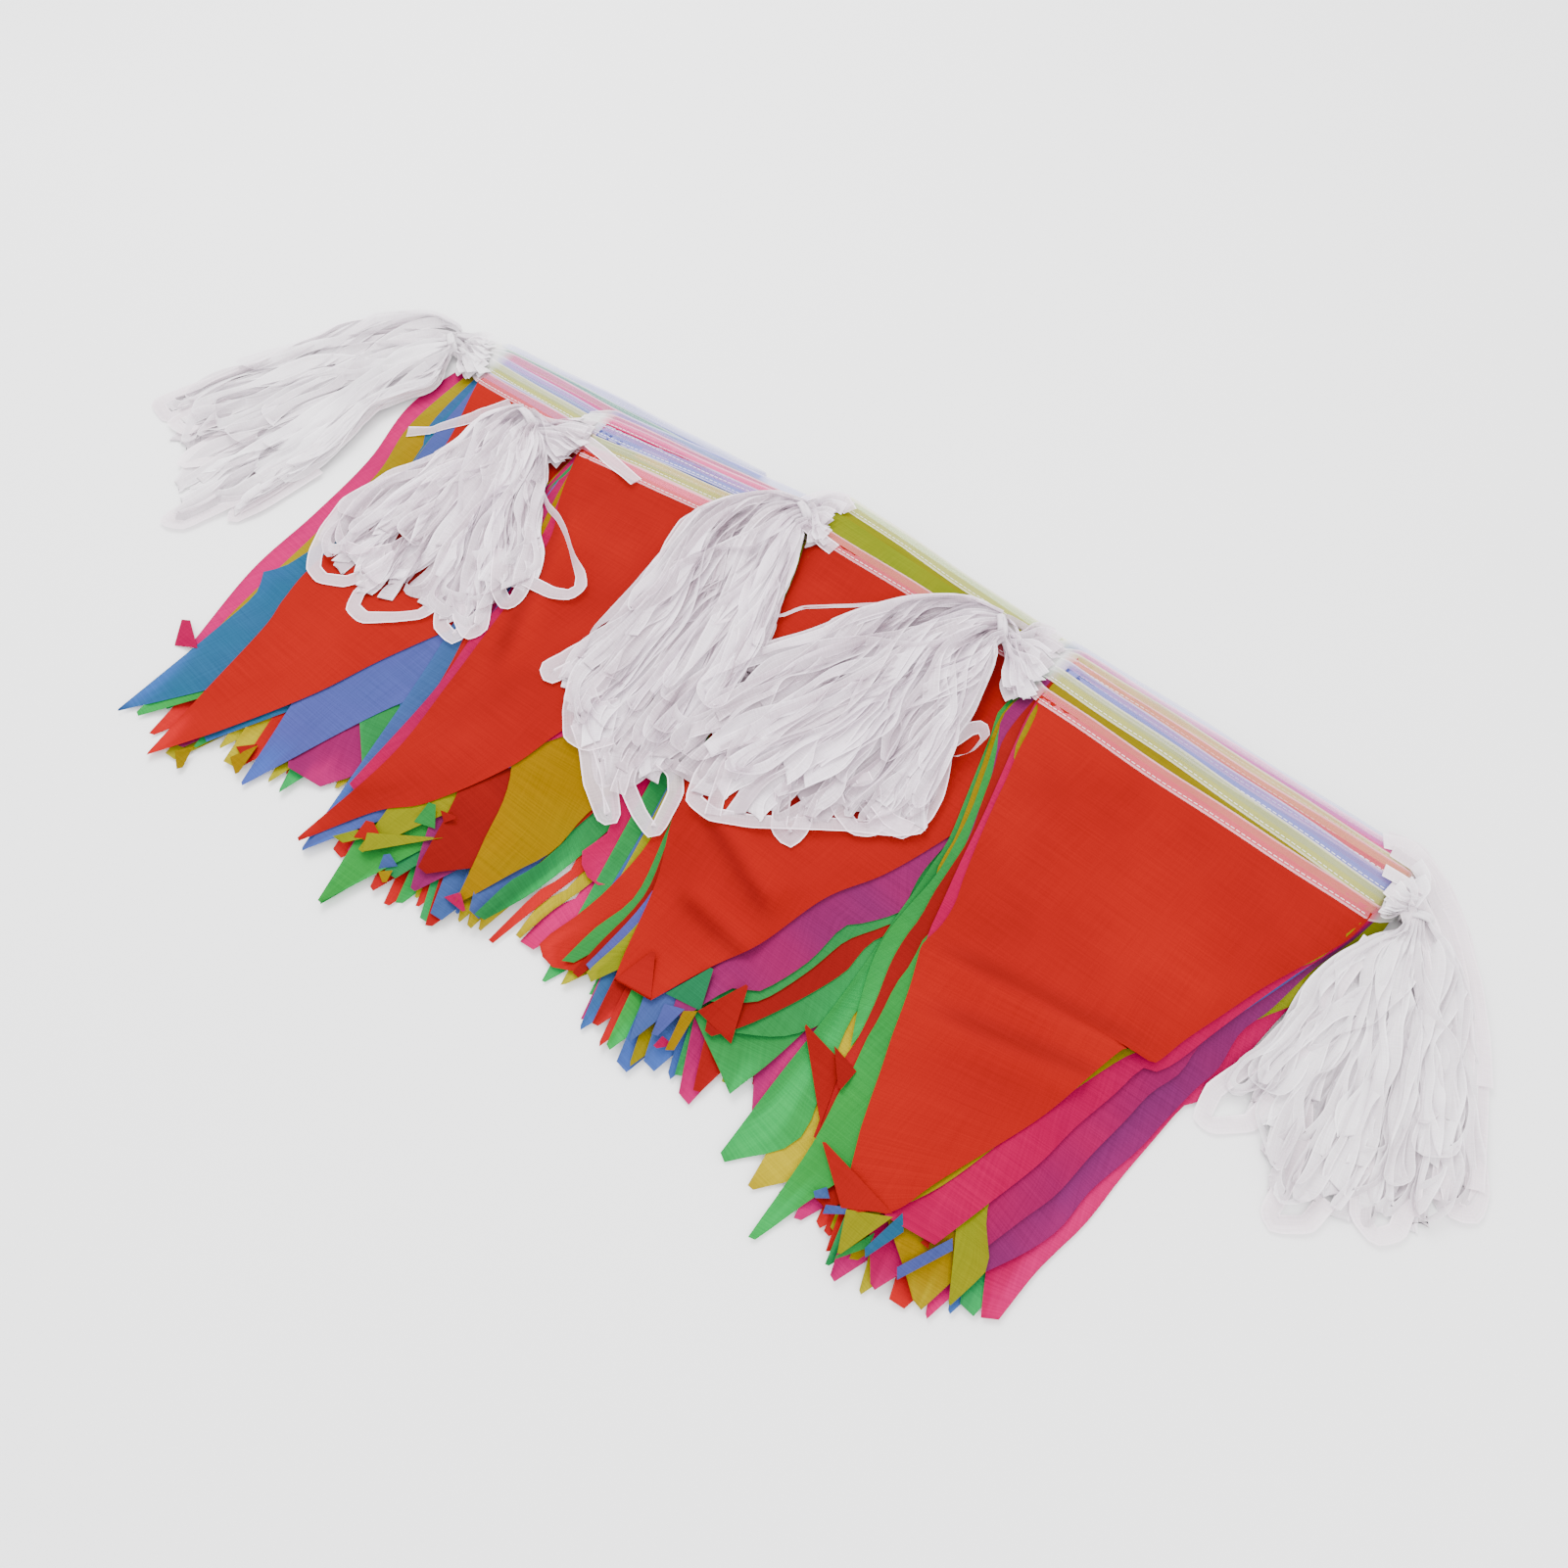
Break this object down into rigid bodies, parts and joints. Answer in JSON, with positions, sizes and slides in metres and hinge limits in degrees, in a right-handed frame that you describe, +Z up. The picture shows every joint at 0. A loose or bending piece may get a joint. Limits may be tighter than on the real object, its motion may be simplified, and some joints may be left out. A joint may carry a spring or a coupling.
{
  "type": "fabric bunting",
  "caption": "Long string of cloth pennants on a folded tape, gathered into overlapping stacks with its slack tape tied off in hanks.",
  "frame": {"origin": "middle of the footprint, on the surface that the bunting lies on", "axes": "+X along the headings of the stacks, from the rear stack to the front one; the pennants' tips point to -Y; +Z up"},
  "size_m": [0.8422, 0.3734, 0.0438],
  "materials": {
    "red_cloth": "thin plain-woven polyester",
    "yellow_cloth": "thin plain-woven polyester",
    "blue_cloth": "thin plain-woven polyester",
    "magenta_cloth": "thin plain-woven polyester",
    "green_cloth": "thin plain-woven polyester",
    "white_tape": "soft thin tape",
    "tie": "soft thin band"
  },
  "bodies": {
    "root": {"front_pennant_1_blue": "blue_cloth", "front_pennant_2_green": "green_cloth", "front_pennant_3_yellow": "yellow_cloth", "front_pennant_4_magenta": "magenta_cloth", "front_pennant_5_green": "green_cloth", "front_pennant_6_blue": "blue_cloth", "front_pennant_7_magenta": "magenta_cloth", "front_pennant_8_red": "red_cloth", "front_tape": "white_tape", "hank_far_left": "white_tape", "hank_far_right": "white_tape", "hank_left": "white_tape", "hank_middle": "white_tape", "hank_right": "white_tape", "loose_tape_end": "white_tape", "rear_pennant_1_yellow": "yellow_cloth", "rear_pennant_2_magenta": "magenta_cloth", "rear_pennant_3_green": "green_cloth", "rear_pennant_4_magenta": "magenta_cloth", "rear_pennant_5_green": "green_cloth", "rear_pennant_6_blue": "blue_cloth", "rear_pennant_7_blue": "blue_cloth", "rear_pennant_8_red": "red_cloth", "rear_tape": "white_tape", "second_pennant_1_yellow": "yellow_cloth", "second_pennant_2_red": "red_cloth", "second_pennant_3_blue": "blue_cloth", "second_pennant_4_green": "green_cloth", "second_pennant_5_green": "green_cloth", "second_pennant_6_magenta": "magenta_cloth", "second_pennant_7_yellow": "yellow_cloth", "second_pennant_8_red": "red_cloth", "second_tape": "white_tape", "third_pennant_1_green": "green_cloth", "third_pennant_2_magenta": "magenta_cloth", "third_pennant_3_yellow": "yellow_cloth", "third_pennant_4_blue": "blue_cloth", "third_pennant_5_magenta": "magenta_cloth", "third_pennant_6_red": "red_cloth", "third_pennant_7_yellow": "yellow_cloth", "third_pennant_8_red": "red_cloth", "third_tape": "white_tape", "tie_far_left": "tie", "tie_far_right": "tie", "tie_left": "tie", "tie_middle": "tie", "tie_right": "tie"}
  },
  "joints": []
}
